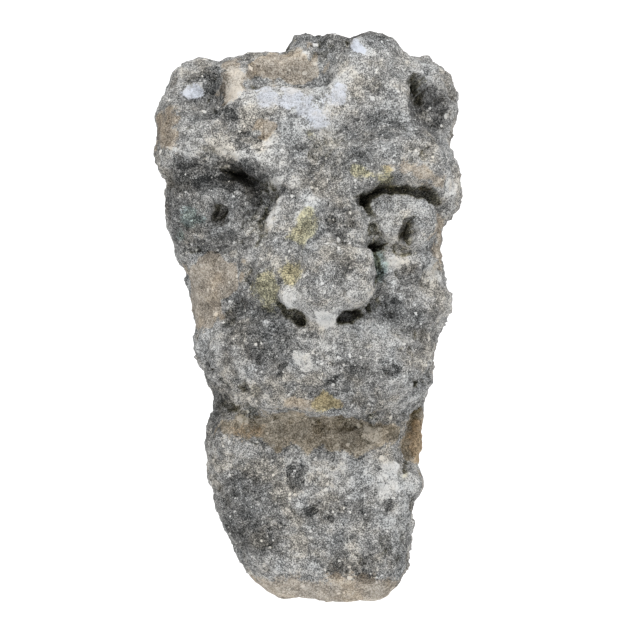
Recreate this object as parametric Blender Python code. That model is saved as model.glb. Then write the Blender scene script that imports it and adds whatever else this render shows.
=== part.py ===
"""A carved stone corbel: one block that juts from a wall, its front worked as a grotesque beast mask.

The wall lies in the plane y = 0 and the mask looks along -Y, +X is to the viewer's right and +Z is up.
The carving is set out in parts: WIDTH is 304 parts across, PROJECTION 306 parts out of the wall and
HEIGHT 570 parts up, so that a part is a millimetre at the real size. A place is (across, out, up).
"""

import bpy
import bmesh
import numpy as np
from math import radians
from mathutils import Matrix

# driving sizes, in metres
WIDTH = 0.304           # across the brows
HEIGHT = 0.570          # underside to the top of the broken crown
PROJECTION = 0.306      # wall face to the tip of the nose
BED_DEPTH = 0.098       # how far the flat bed runs out from the wall
BED_DROP = 0.006        # how far the bed is dressed down below the rough top
LEFT_BORE = 0.0165      # drilled pupils, diameter
RIGHT_BORE = 0.0170
BORE_DEPTH = 0.021
PIT_BORE = 0.0120       # hole between the nose and the right eye
PIT_DEPTH = 0.034

PARTS = (304, 306, 570)
FACETS = 9300           # facets kept on the stone before the holes are drilled
STONE_COLOUR = (0.27, 0.26, 0.235, 1)
STONE_ROUGHNESS = 0.93

part = np.array((WIDTH / PARTS[0], PROJECTION / PARTS[1], HEIGHT / PARTS[2]))

# the block: how far it reaches left, right and out at each level
BLOCK = (
    (290, -106, 96, 150),
    (262, -122, 106, 205),
    (236, -134, 132, 228),
    (205, -141, 137, 240),
    (160, -142, 139, 246),
    (116, -140, 138, 236),
    (60, -131, 131, 232),
    (10, -113, 130, 232),
    (-44, -105, 119, 232),
    (-90, -94, 116, 227),
    (-130, -95, 110, 228),
    (-165, -93, 106, 235),
    (-205, -84, 103, 236),
    (-240, -68, 99, 233),
    (-262, -59, 93, 225),
    (-290, -20, 70, 200),
)
# the plain block at the wall: how far it reaches left and right
TAIL = (
    (256, -120, 118),
    (-240, -66, 92),
    (-290, -6, 66),
)
TAIL_END = 30           # the tail swells into the carved front between these distances from the wall
CARVING_START = 140
TOP = 256
UNDERSIDE = -284
CORNER = 50             # how softly the front turns into the sides

# right side of the jaw, broken back between the lip and a stump lower down: up, across
JAW_BREAK = (
    (-80, 112),
    (-104, 97),
    (-130, 94),
    (-150, 93),
    (-184, 97),
    (-290, 105),
)
JAW_BREAK_FACE = 188    # how far out the broken strip stands
JAW_BREAK_ENDS = (-176, -84)

# bulging eyes: middle, half sizes, and where the pupil is drilled to the right of and above the middle
EYES = {
    "left": {"middle": (-88, 198, 108), "half": (53, 56, 47), "pupil": (0, -5)},
    "right": {"middle": (90, 238, 98), "half": (35, 30, 30), "pupil": (7, -13)},
}
PIT = (67, 250, 71)


def join(first, second, soft):
    """The union of two forms, blended over a seam of the given width."""
    share = np.clip(0.5 + 0.5 * (second - first) / soft, 0, 1)
    return second + (first - second) * share - soft * share * (1 - share)


def carve(form, tool, soft):
    """The form with the tool's shape taken out of it."""
    return -join(-form, tool, soft)


def turned(points, centre, turn):
    """The points in the axes of a tool that stands at centre, turned by degrees about across, out, up."""
    a, b, c = (radians(angle) for angle in turn)
    spin = Matrix.Rotation(c, 3, "Z") @ Matrix.Rotation(b, 3, "Y") @ Matrix.Rotation(a, 3, "X")
    return (points - np.array(centre)) @ np.array(spin)


def ball(points, centre, radii, turn=(0, 0, 0)):
    """Distance to an ellipsoid."""
    local = turned(points, centre, turn)
    near = np.linalg.norm(local / np.array(radii), axis=1)
    slope = np.linalg.norm(local / np.square(radii), axis=1) + 1e-9
    return near * (near - 1) / slope


def block(points, centre, halves, turn=(0, 0, 0), edge=8):
    """Distance to a box with rounded edges."""
    over = np.abs(turned(points, centre, turn)) - np.array(halves) + edge
    outside = np.linalg.norm(np.maximum(over, 0), axis=1)
    return outside + np.minimum(over.max(axis=1), 0) - edge


def roll(points, *stops):
    """Distance to a rope of varying thickness; each stop is (across, out, up, radius)."""
    nearest = np.full(len(points), 1e9)
    for start, end in zip(stops[:-1], stops[1:]):
        along = np.subtract(end[:3], start[:3])
        way = points - np.array(start[:3])
        share = np.clip(way @ along / (along @ along), 0, 1)
        gap = np.linalg.norm(way - share[:, None] * along, axis=1)
        nearest = np.minimum(nearest, gap - (start[3] + (end[3] - start[3]) * share))
    return nearest


def spall(points, centre, radii, facing):
    """The piece that a blow splits off: what of a ball lies in front of a plane through its middle."""
    normal = np.array(facing) / np.linalg.norm(facing)
    return carve(ball(points, centre, radii), (points - np.array(centre)) @ normal, 4)


def smooth_line(levels, values, up):
    """Values at the given levels, rounded off over 28 parts and read at each height."""
    rule = np.arange(-330.0, 331.0)
    window = np.hanning(29) / np.hanning(29).sum()
    line = np.interp(rule, levels, values)
    return np.interp(up, rule, np.convolve(np.pad(line, 14, mode="edge"), window, mode="valid"))


def rough_block(points):
    across, out, up = points.T
    levels, left, right, front = (np.array(row) for row in zip(*reversed(BLOCK)))
    tail_levels, tail_left, tail_right = (np.array(row) for row in zip(*reversed(TAIL)))
    swell = np.clip((out - TAIL_END) / (CARVING_START - TAIL_END), 0, 1)
    swell = swell * swell * (3 - 2 * swell)
    left = smooth_line(levels, left, up) * swell + smooth_line(tail_levels, tail_left, up) * (1 - swell)
    right = smooth_line(levels, right, up) * swell + smooth_line(tail_levels, tail_right, up) * (1 - swell)
    side = np.maximum(left - across, across - right)
    stone = -join(-side, smooth_line(levels, front, up) - out, CORNER)
    levels, edge = zip(*reversed(JAW_BREAK))
    strip = -join(across - np.interp(up, levels, edge), out - JAW_BREAK_FACE, 8)
    low, high = JAW_BREAK_ENDS
    strip = -join(-strip, -np.maximum(up - high, low - up), 10)
    stone = carve(stone, strip, 8)
    stone = -join(-stone, TOP - up, 16)
    return -join(-stone, up - UNDERSIDE, 8)


def forehead_and_brows(stone, p):
    stone = join(stone, ball(p, (-4, 182, 186), (118, 74, 62)), 26)
    stone = join(stone, ball(p, (-108, 190, 180), (34, 46, 40)), 20)
    stone = join(stone, ball(p, (-62, 198, 188), (76, 56, 44)), 24)
    left = roll(p, (-140, 202, 159, 9), (-122, 229, 168, 11), (-102, 244, 176, 12), (-82, 250, 171, 13),
                (-62, 253, 163, 14), (-42, 254, 154, 15), (-16, 247, 138, 18))
    right = roll(p, (20, 250, 140, 20), (40, 256, 152, 24), (72, 256, 158, 27),
                 (102, 246, 152, 26), (122, 224, 140, 21), (130, 200, 116, 13))
    right_rim = roll(p, (34, 258, 128, 12), (52, 264, 138, 13), (74, 268, 147, 14), (98, 260, 146, 14),
                     (120, 240, 134, 13), (134, 212, 110, 11))
    stone = join(stone, left, 10)
    stone = join(stone, right, 22)
    stone = join(stone, right_rim, 14)
    stone = join(stone, ball(p, (124, 196, 138), (28, 46, 35), (0, -6, 0)), 10)
    wrinkle = roll(p, (122, 256, 170, 2), (108, 275, 158, 3), (90, 285, 148, 3))
    return carve(stone, wrinkle, 12)


def broken_crown(stone, p):
    stone = join(stone, ball(p, (61, 196, 246), (30, 36, 38), (0, 12, 0)), 12)
    stone = join(stone, roll(p, (60, 205, 258, 20), (40, 226, 228, 18), (22, 236, 204, 16)), 18)
    stone = join(stone, ball(p, (90, 182, 240), (26, 32, 28)), 14)
    stone = carve(stone, block(p, (-22, 272, 283), (45, 74, 49), (10, 0, 0), 14), 9)
    stone = join(stone, roll(p, (-74, 176, 248, 16), (-50, 178, 252, 16), (-24, 176, 250, 16)), 14)
    stone = join(stone, ball(p, (-4, 166, 252), (23, 36, 34)), 10)
    stone = join(stone, ball(p, (21, 166, 248), (25, 40, 37)), 10)
    stone = join(stone, block(p, (42, 166, 242), (28, 52, 36), edge=20), 14)
    return carve(stone, roll(p, (38, 120, 290, 9), (38, 190, 286, 9), (37, 222, 268, 6)), 6)


def ears(stone, p):
    stone = join(stone, ball(p, (104, 174, 214), (46, 40, 52)), 12)
    stone = join(stone, ball(p, (-106, 172, 214), (40, 40, 46), (0, 10, 0)), 12)
    stone = join(stone, ball(p, (-136, 180, 208), (16, 30, 20), (0, 10, 0)), 8)
    stone = join(stone, roll(p, (-78, 190, 249, 14), (-77, 218, 230, 13), (-74, 234, 206, 12)), 10)
    stone = carve(stone, ball(p, (121, 231, 211), (24, 30, 33), (0, -14, 0)), 5)
    stone = carve(stone, ball(p, (109, 218, 224), (12, 26, 17)), 8)
    stone = carve(stone, ball(p, (-108, 250, 228), (27, 34, 30)), 12)
    return carve(stone, ball(p, (-97, 238, 229), (12, 26, 27)), 7)


def eyes(stone, p):
    stone = carve(stone, ball(p, (-90, 292, 110), (62, 62, 55), (0, -6, 0)), 5)
    stone = carve(stone, ball(p, (96, 286, 92), (37, 62, 45)), 6)
    stone = join(stone, ball(p, EYES["left"]["middle"], EYES["left"]["half"]), 10)
    stone = join(stone, block(p, EYES["right"]["middle"], EYES["right"]["half"], edge=24), 4)
    lower_lid = roll(p, (68, 240, 62, 6), (84, 250, 56, 8), (104, 248, 55, 8), (122, 228, 62, 6))
    stone = join(stone, lower_lid, 12)
    left_crevice = roll(p, (-138, 206, 146, 3), (-118, 228, 153, 4), (-102, 232, 160, 5), (-82, 236, 153, 7),
                        (-62, 240, 144, 10), (-46, 244, 131, 9), (-37, 250, 119, 5))
    right_crevice = roll(p, (57, 264, 116, 3), (68, 258, 131, 6), (88, 255, 133, 7), (110, 250, 127, 7),
                         (128, 238, 109, 6), (136, 226, 84, 5))
    inner_crease = roll(p, (52, 246, 118, 4), (53, 258, 104, 4), (58, 262, 86, 4), (64, 258, 74, 4))
    stone = carve(stone, inner_crease, 4)
    stone = carve(stone, left_crevice, 4)
    stone = carve(stone, right_crevice, 5)
    return carve(stone, ball(p, (-88, 260, 100), (15, 17, 17), (0, 20, 0)), 3)


def nose(stone, p):
    frown = ball(p, (16, 302, 150), (24, 46, 24))
    stone = carve(stone, frown, 24)
    stone = join(stone, block(p, (8, 234, 76), (44, 38, 48), (12, 0, 2), 17), 8)
    stone = join(stone, ball(p, (-24, 218, 42), (44, 58, 56), (0, 14, 0)), 26)
    stone = join(stone, block(p, (23, 248, 58), (37, 38, 52), (12, 0, 5), 20), 10)
    stone = join(stone, block(p, (28, 264, 38), (34, 38, 31), (8, 0, -6), 18), 8)
    stone = join(stone, ball(p, (12, 270, 28), (26, 30, 23)), 12)
    stone = join(stone, ball(p, (-19, 268, 20), (13, 24, 15)), 8)
    flank = roll(p, (-38, 264, 118, 4), (-47, 262, 84, 5), (-54, 260, 50, 4), (-58, 257, 24, 3))
    return carve(stone, flank, 8)


def muzzle(stone, p):
    stone = join(stone, ball(p, (-36, 208, -29), (71, 68, 53), (0, -8, 0)), 18)
    stone = join(stone, ball(p, (54, 208, -38), (67, 70, 52), (0, 10, 0)), 18)
    stone = join(stone, ball(p, (8, 222, -28), (54, 58, 40)), 24)
    stone = join(stone, roll(p, (12, 284, 16, 15), (13, 280, 0, 10), (14, 273, -15, 6)), 10)
    stone = join(stone, ball(p, (14, 230, -62), (80, 36, 32)), 18)
    stone = join(stone, ball(p, (80, 224, 38), (24, 30, 36)), 14)
    left_fold = roll(p, (-78, 246, 0, 5), (-68, 256, 14, 6), (-58, 264, 32, 6))
    right_fold = roll(p, (64, 270, 34, 6), (74, 268, 10, 6), (92, 256, -14, 5))
    stone = carve(stone, left_fold, 12)
    stone = carve(stone, right_fold, 12)
    stone = join(stone, ball(p, (96, 200, 18), (40, 52, 44)), 14)
    stone = join(stone, ball(p, (-92, 176, -20), (18, 34, 32)), 10)
    return carve(stone, spall(p, (-106, 225, 30), (46, 50, 37), (-0.42, 0.9, -0.06)), 5)


def mouth_and_jaw(stone, p):
    lip = roll(p, (-88, 222, -62, 9), (-62, 241, -74, 10), (-30, 254, -86, 10), (20, 259, -94, 10),
               (54, 255, -92, 10), (86, 241, -78, 10), (110, 216, -62, 9))
    stone = join(stone, lip, 14)
    crease = roll(p, (-70, 251, -69, 2), (-42, 262, -76, 3), (-8, 267, -81, 3), (20, 268, -82, 2))
    stone = carve(stone, crease, 3)
    cove = roll(p, (-110, 252, -104, 21), (-44, 264, -113, 23), (30, 264, -119, 23), (98, 252, -110, 22))
    stone = carve(stone, cove, 14)
    stone = join(stone, ball(p, (-80, 198, -124), (22, 44, 36)), 20)
    return join(stone, ball(p, (100, 186, -165), (15, 34, 20)), 6)


def nostrils(stone, p):
    left = roll(p, (-29, 273, 15, 4), (-21, 275, 7, 6), (-12, 273, -1, 7), (-1, 272, -13, 6))
    right = roll(p, (27, 276, 0, 6), (38, 262, 4, 11), (49, 256, 8, 8))
    return carve(carve(stone, left, 4), right, 5)


def stone_form(points):
    """Distance from each point to the carved stone, below zero inside it."""
    stone = rough_block(points)
    for work in (forehead_and_brows, broken_crown, ears, eyes, nose, muzzle, mouth_and_jaw, nostrils):
        stone = work(stone, points)
    return stone


BLANK_LOW = np.array((-176, -46, -306))     # the blank that the stone is cut from
BLANK_HIGH = np.array((176, 346, 306))
BLANK_CUTS = (71, 39, 123)
CORE = np.array((0, 60, 0))                 # lines run from the blank's faces toward this core
CORE_SHARE = np.array((0.3, 0.25, 0.7))
NEAR_ENOUGH = 0.03
BEHIND = -30                                # the form runs on into the wall, to be cut off flat


def stone_blank():
    """A box whose faces are divided into small squares."""
    mesh = bpy.data.meshes.new("corbel")
    grid = bmesh.new()
    bmesh.ops.create_cube(grid, size=1.0)
    for axis, cuts in enumerate(BLANK_CUTS):
        ways = [edge for edge in grid.edges if abs((edge.verts[0].co - edge.verts[1].co)[axis]) > 1e-6]
        bmesh.ops.subdivide_edges(grid, edges=ways, cuts=cuts, use_grid_fill=True)
    grid.to_mesh(mesh)
    grid.free()
    return mesh


def cut_to_form(mesh):
    """Moves each vertex of the blank along its own line toward the core, until it meets the stone."""
    corners = np.empty(len(mesh.vertices) * 3)
    mesh.vertices.foreach_get("co", corners)
    start = BLANK_LOW + (corners.reshape(-1, 3) + 0.5) * (BLANK_HIGH - BLANK_LOW)
    way = CORE + (start - CORE) * CORE_SHARE - start
    length = np.linalg.norm(way, axis=1)
    way /= length[:, None]
    gone = np.zeros(len(start))
    moving = np.arange(len(start))
    for step in range(60):
        here = start[moving] + way[moving] * gone[moving, None]
        gap = np.maximum(stone_form(here), BEHIND - here[:, 1])
        gone[moving] = np.clip(gone[moving] + 0.8 * gap, 0, length[moving])
        moving = moving[np.abs(gap) > NEAR_ENOUGH]
    place = (start + way * gone[:, None]) * part
    place[:, 1] *= -1
    mesh.vertices.foreach_set("co", place.ravel())
    mesh.flip_normals()
    mesh.update()


def stone_material():
    material = bpy.data.materials.new("weathered limestone")
    material.use_nodes = True
    shader = material.node_tree.nodes["Principled BSDF"]
    shader.inputs["Base Color"].default_value = STONE_COLOUR
    shader.inputs["Roughness"].default_value = STONE_ROUGHNESS
    shader.inputs["Metallic"].default_value = 0.0
    return material


def to_world(place):
    across, out, up = np.array(place) * part
    return across, -out, up


def add_cutter(name, stone, cutters, build):
    """A hidden solid that is taken out of the stone; build fills its mesh."""
    mesh = bpy.data.meshes.new(name)
    solid = bmesh.new()
    build(solid)
    solid.to_mesh(mesh)
    solid.free()
    cutter = bpy.data.objects.new(name, mesh)
    cutters.objects.link(cutter)
    cutter.hide_render = True
    cutter.display_type = "WIRE"
    cut = stone.modifiers.new(name, "BOOLEAN")
    cut.operation = "DIFFERENCE"
    cut.solver = "EXACT"
    cut.object = cutter
    return cutter


def drill(name, stone, cutters, mouth, bore, depth):
    """A hole along Y that narrows inwards and runs as far in front of its mouth as behind it."""
    def build(solid):
        spot = Matrix.Translation(to_world(mouth)) @ Matrix.Rotation(radians(90), 4, "X")
        bmesh.ops.create_cone(solid, cap_ends=True, segments=14, radius1=bore * 0.32,
                              radius2=bore * 0.68, depth=depth * 2, matrix=spot)
    add_cutter(name, stone, cutters, build)


def drill_pupil(side, bore, stone, cutters):
    """The mouth of the hole lies on the eye's surface."""
    eye = EYES[side]
    shift = np.array((eye["pupil"][0], 0, eye["pupil"][1]))
    flat = np.linalg.norm(shift / np.array(eye["half"]))
    bulge = eye["half"][1] * np.sqrt(1 - flat * flat)
    mouth = np.array(eye["middle"]) + shift + np.array((0, bulge, 0))
    drill(side + "_pupil", stone, cutters, mouth, bore, BORE_DEPTH)


def cut_box(name, stone, cutters, low, high):
    def build(solid):
        size = np.subtract(high, low)
        middle = np.add(high, low) / 2
        spot = Matrix.Translation(middle) @ Matrix.Diagonal((*size, 1))
        bmesh.ops.create_cube(solid, size=1.0, matrix=spot)
    return add_cutter(name, stone, cutters, build)


def build_corbel():
    for thing in list(bpy.data.objects):
        bpy.data.objects.remove(thing, do_unlink=True)
    collection = bpy.data.collections.new("corbel")
    cutters = bpy.data.collections.new("cutters")
    bpy.context.scene.collection.children.link(collection)
    bpy.context.scene.collection.children.link(cutters)

    mesh = stone_blank()
    cut_to_form(mesh)
    mesh.materials.append(stone_material())
    stone = bpy.data.objects.new("corbel", mesh)
    collection.objects.link(stone)

    facets = stone.modifiers.new("facets", "DECIMATE")
    facets.ratio = FACETS / (2 * len(mesh.polygons))
    facets.use_collapse_triangulate = True

    drill_pupil("left", LEFT_BORE, stone, cutters)
    drill_pupil("right", RIGHT_BORE, stone, cutters)
    drill("pit", stone, cutters, PIT, PIT_BORE, PIT_DEPTH)
    bed = TOP * part[2] - BED_DROP
    far = 2 * max(WIDTH, HEIGHT, PROJECTION)
    cut_box("wall_cut", stone, cutters, (-far, 0, -far), (far, far, far))
    cut_box("bed_cut", stone, cutters, (-far, -BED_DEPTH, bed), (far, far, far))
    mesh.shade_smooth()


build_corbel()
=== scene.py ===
from math import radians

import bpy
import numpy as np
from mathutils import Matrix, Vector


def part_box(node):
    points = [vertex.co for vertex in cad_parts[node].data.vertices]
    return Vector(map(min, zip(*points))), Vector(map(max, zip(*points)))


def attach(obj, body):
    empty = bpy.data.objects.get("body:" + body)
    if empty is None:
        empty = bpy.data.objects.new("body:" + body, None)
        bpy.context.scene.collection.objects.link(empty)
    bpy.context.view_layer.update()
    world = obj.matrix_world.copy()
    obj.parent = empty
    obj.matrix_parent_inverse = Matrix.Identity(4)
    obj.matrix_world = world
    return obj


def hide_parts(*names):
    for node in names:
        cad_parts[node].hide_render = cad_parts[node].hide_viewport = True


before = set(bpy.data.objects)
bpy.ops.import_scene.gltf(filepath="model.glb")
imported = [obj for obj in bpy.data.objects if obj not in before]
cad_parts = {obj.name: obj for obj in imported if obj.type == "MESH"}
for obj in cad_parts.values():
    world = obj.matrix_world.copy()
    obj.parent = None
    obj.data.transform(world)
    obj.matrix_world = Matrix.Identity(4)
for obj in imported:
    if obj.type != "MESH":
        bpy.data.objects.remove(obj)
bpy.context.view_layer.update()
nodeLow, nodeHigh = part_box("corbel")

# The carving is set out in parts of about a millimetre: across to the right, out of the wall, up.
# The node's box gives the size of a part.
boxParts = (304.9, 306.2, 570.0)         # width, depth and height of that box
footBelow = 284.0                        # how far its foot lies below level 0
partSize = (np.array(nodeHigh) - np.array(nodeLow)) / boxParts
partShift = np.array([0.0, nodeHigh.y, nodeLow.z + footBelow * partSize[2]])


# The block before its face is carved. Each row is up, reach left, reach right, reach out of the wall.
block = {
    "carved": [(290, -106, 96, 150), (262, -122, 106, 205), (236, -134, 132, 228), (205, -141, 137, 240),
               (160, -142, 139, 246), (116, -140, 138, 236), (60, -131, 131, 232), (10, -113, 130, 232),
               (-44, -105, 119, 232), (-90, -94, 116, 227), (-130, -95, 110, 228), (-165, -93, 106, 235),
               (-205, -84, 103, 236), (-240, -68, 99, 233), (-262, -59, 93, 225), (-290, -20, 70, 200)],
    "tail": [(256, -120, 118), (-240, -66, 92), (-290, -6, 66)],
    "tailEnd": 30,
    "carvingStart": 140,
    "top": 256,
    "underside": -284,
    "bedLevel": 250,
    "bedDepth": 98,
    "corner": 50,
    "jawBreak": [(-80, 112), (-104, 97), (-130, 94), (-150, 93), (-184, 97), (-290, 105)],
    "jawBreakFace": 188,
    "jawBreakEnds": (-176, -84),
}


def join(first, second, soft):
    # smooth union: the lower of two distances, blended over a seam as wide as soft
    share = np.clip(0.5 + 0.5 * (second - first) / soft, 0, 1)
    return second + (first - second) * share - soft * share * (1 - share)


def carve(form, tool, soft):
    # what is left of the form: smooth union of the tool and all that isn't the form, turned inside out
    return -join(-form, tool, soft)


def turned(points, middle, turn):
    # points as a form sees them: from its middle, and turned back by its three angles in degrees
    a, b, c = (radians(angle) for angle in turn)
    spin = Matrix.Rotation(c, 3, "Z") @ Matrix.Rotation(b, 3, "Y") @ Matrix.Rotation(a, 3, "X")
    return (points - np.array(middle, np.float32)) @ np.array(spin, np.float32)


def ball(points, middle, radii, turn=(0, 0, 0)):
    # distance to an ellipsoid: k (k - 1) / l, with k = |q / r| and l = |q / r squared|
    local = turned(points, middle, turn)
    radii = np.array(radii, np.float32)
    near = np.linalg.norm(local / radii, axis=1)
    return near * (near - 1) / (np.linalg.norm(local / radii**2, axis=1) + 1e-9)


def box(points, middle, halves, turn=(0, 0, 0), edge=8):
    # distance to a box with rounded edges: the length of what reaches past its halves
    over = np.abs(turned(points, middle, turn)) - np.array(halves, np.float32) + edge
    return np.linalg.norm(np.maximum(over, 0), axis=1) + np.minimum(over.max(axis=1), 0) - edge


def rope(points, *stops):
    # distance to a line of changing thickness; a stop is across, out, up, radius
    nearest = np.full(len(points), 1e9, np.float32)
    for start, end in zip(stops[:-1], stops[1:]):
        along = np.subtract(end[:3], start[:3]).astype(np.float32)
        way = points - np.array(start[:3], np.float32)
        share = np.clip(way @ along / (along @ along), 0, 1)
        gap = np.linalg.norm(way - share[:, None] * along, axis=1)
        nearest = np.minimum(nearest, gap - (start[3] + (end[3] - start[3]) * share))
    return nearest


def spall(points, middle, radii, facing):
    # what a blow splits off: the part of a ball in front of a plane through its middle
    normal = (np.array(facing) / np.linalg.norm(facing)).astype(np.float32)
    return carve(ball(points, middle, radii), (points - np.array(middle, np.float32)) @ normal, 4)


def smoothLine(rows, column, up):
    # one column of a table against its first, rounded off over 28 parts
    rule = np.arange(-330.0, 331.0)
    rows = np.array(rows)[::-1]
    window = np.hanning(29) / np.hanning(29).sum()
    line = np.interp(rule, rows[:, 0], rows[:, column])
    line = np.convolve(np.pad(line, 14, mode="edge"), window, mode="valid")
    return np.interp(up, rule, line).astype(np.float32)


def roughBlock(points):
    # distance to the block: two sides and a front that follow its tables up, going over from the carved
    # outline to the plain one behind it, then the broken strip, the top, the underside and the bed
    across, out, up = points.T
    swell = np.clip((out - block["tailEnd"]) / (block["carvingStart"] - block["tailEnd"]), 0, 1)
    swell = swell * swell * (3 - 2 * swell)
    left = smoothLine(block["carved"], 1, up) * swell + smoothLine(block["tail"], 1, up) * (1 - swell)
    right = smoothLine(block["carved"], 2, up) * swell + smoothLine(block["tail"], 2, up) * (1 - swell)
    side = np.maximum(left - across, across - right)
    stone = -join(-side, smoothLine(block["carved"], 3, up) - out, block["corner"])
    low, high = block["jawBreakEnds"]
    edge = np.array(block["jawBreak"])[::-1]
    strip = -join(across - np.interp(up, edge[:, 0], edge[:, 1]), out - block["jawBreakFace"], 8)
    strip = -join(-strip, -np.maximum(up - high, low - up), 10)
    stone = carve(stone, strip, 8)
    stone = -join(-stone, block["top"] - up, 16)
    stone = -join(-stone, up - block["underside"], 8)
    bed = np.minimum(up - block["bedLevel"], block["bedDepth"] - out)
    return np.maximum(stone, bed)


def foreheadAndBrows(stone, p):
    stone = join(stone, ball(p, (-4, 182, 186), (118, 74, 62)), 26)
    stone = join(stone, ball(p, (-108, 190, 180), (34, 46, 40)), 20)
    stone = join(stone, ball(p, (-62, 198, 188), (76, 56, 44)), 24)
    left = rope(p, (-140, 202, 159, 9), (-122, 229, 168, 11), (-102, 244, 176, 12), (-82, 250, 171, 13),
                (-62, 253, 163, 14), (-42, 254, 154, 15), (-16, 247, 138, 18))
    right = rope(p, (20, 250, 140, 20), (40, 256, 152, 24), (72, 256, 158, 27),
                 (102, 246, 152, 26), (122, 224, 140, 21), (130, 200, 116, 13))
    rightRim = rope(p, (34, 258, 128, 12), (52, 264, 138, 13), (74, 268, 147, 14), (98, 260, 146, 14),
                    (120, 240, 134, 13), (134, 212, 110, 11))
    stone = join(stone, left, 10)
    stone = join(stone, right, 22)
    stone = join(stone, rightRim, 14)
    stone = join(stone, ball(p, (124, 196, 138), (28, 46, 35), (0, -6, 0)), 10)
    wrinkle = rope(p, (122, 256, 170, 2), (108, 275, 158, 3), (90, 285, 148, 3))
    return carve(stone, wrinkle, 12)


def brokenCrown(stone, p):
    stone = join(stone, ball(p, (61, 196, 246), (30, 36, 38), (0, 12, 0)), 12)
    stone = join(stone, rope(p, (60, 205, 258, 20), (40, 226, 228, 18), (22, 236, 204, 16)), 18)
    stone = join(stone, ball(p, (90, 182, 240), (26, 32, 28)), 14)
    stone = carve(stone, box(p, (-22, 272, 283), (45, 74, 49), (10, 0, 0), 14), 9)
    stone = join(stone, rope(p, (-74, 176, 248, 16), (-50, 178, 252, 16), (-24, 176, 250, 16)), 14)
    stone = join(stone, ball(p, (-4, 166, 252), (23, 36, 34)), 10)
    stone = join(stone, ball(p, (21, 166, 248), (25, 40, 37)), 10)
    stone = join(stone, box(p, (42, 166, 242), (28, 52, 36), edge=20), 14)
    return carve(stone, rope(p, (38, 120, 290, 9), (38, 190, 286, 9), (37, 222, 268, 6)), 6)


def ears(stone, p):
    stone = join(stone, ball(p, (104, 174, 214), (46, 40, 52)), 12)
    stone = join(stone, ball(p, (-106, 172, 214), (40, 40, 46), (0, 10, 0)), 12)
    stone = join(stone, ball(p, (-136, 180, 208), (16, 30, 20), (0, 10, 0)), 8)
    stone = join(stone, rope(p, (-78, 190, 249, 14), (-77, 218, 230, 13), (-74, 234, 206, 12)), 10)
    stone = carve(stone, ball(p, (121, 231, 211), (24, 30, 33), (0, -14, 0)), 5)
    stone = carve(stone, ball(p, (106, 218, 224), (11, 26, 18)), 6)
    stone = carve(stone, ball(p, (-108, 250, 228), (27, 34, 30)), 12)
    return carve(stone, ball(p, (-97, 238, 229), (12, 26, 27)), 7)


def eyes(stone, p):
    stone = carve(stone, ball(p, (-90, 292, 110), (62, 62, 55), (0, -6, 0)), 5)
    stone = carve(stone, ball(p, (96, 286, 92), (37, 62, 45)), 6)
    stone = join(stone, ball(p, (-88, 198, 108), (53, 56, 47)), 10)
    stone = join(stone, box(p, (90, 238, 98), (35, 30, 30), edge=24), 4)
    lowerLid = rope(p, (68, 240, 62, 6), (84, 250, 56, 8), (104, 248, 55, 8), (122, 228, 62, 6))
    stone = join(stone, lowerLid, 12)
    leftCrevice = rope(p, (-138, 206, 146, 3), (-118, 228, 153, 4), (-102, 232, 160, 5), (-82, 236, 153, 7),
                       (-62, 240, 144, 10), (-46, 244, 131, 9), (-37, 250, 119, 5))
    rightCrevice = rope(p, (57, 264, 116, 3), (68, 258, 131, 6), (88, 255, 133, 7), (110, 250, 127, 7),
                        (128, 238, 109, 6), (136, 226, 84, 5))
    innerCrease = rope(p, (52, 246, 118, 4), (53, 258, 104, 4), (58, 262, 86, 4), (64, 258, 74, 4))
    stone = carve(stone, innerCrease, 4)
    stone = carve(stone, leftCrevice, 4)
    stone = carve(stone, rightCrevice, 5)
    return carve(stone, ball(p, (-88, 260, 100), (15, 17, 17), (0, 20, 0)), 3)


def nose(stone, p):
    stone = carve(stone, ball(p, (16, 302, 150), (24, 46, 24)), 24)
    stone = join(stone, box(p, (8, 234, 76), (44, 38, 48), (12, 0, 2), 17), 8)
    stone = join(stone, ball(p, (-24, 218, 42), (44, 58, 56), (0, 14, 0)), 26)
    stone = join(stone, box(p, (23, 248, 58), (37, 38, 52), (12, 0, 5), 20), 10)
    stone = join(stone, box(p, (28, 264, 38), (34, 38, 31), (8, 0, -6), 18), 8)
    stone = join(stone, ball(p, (12, 270, 28), (26, 30, 23)), 12)
    stone = join(stone, ball(p, (-19, 268, 20), (13, 24, 15)), 8)
    flank = rope(p, (-38, 264, 118, 4), (-47, 262, 84, 5), (-54, 260, 50, 4), (-58, 257, 24, 3))
    return carve(stone, flank, 8)


def muzzle(stone, p):
    stone = join(stone, ball(p, (-36, 208, -29), (71, 68, 53), (0, -8, 0)), 18)
    stone = join(stone, ball(p, (54, 208, -38), (67, 70, 52), (0, 10, 0)), 18)
    stone = join(stone, ball(p, (8, 222, -28), (54, 58, 40)), 24)
    stone = join(stone, rope(p, (12, 284, 16, 15), (13, 280, 0, 10), (14, 273, -15, 6)), 10)
    stone = join(stone, ball(p, (14, 230, -62), (80, 36, 32)), 18)
    stone = join(stone, ball(p, (80, 224, 38), (24, 30, 36)), 14)
    leftFold = rope(p, (-78, 246, 0, 5), (-68, 256, 14, 6), (-58, 264, 32, 6))
    rightFold = rope(p, (64, 270, 34, 6), (74, 268, 10, 6), (92, 256, -14, 5))
    stone = carve(stone, leftFold, 12)
    stone = carve(stone, rightFold, 12)
    stone = join(stone, ball(p, (96, 200, 18), (40, 52, 44)), 14)
    stone = join(stone, ball(p, (-92, 176, -20), (18, 34, 32)), 10)
    return carve(stone, spall(p, (-106, 225, 30), (46, 50, 37), (-0.42, 0.9, -0.06)), 5)


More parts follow.
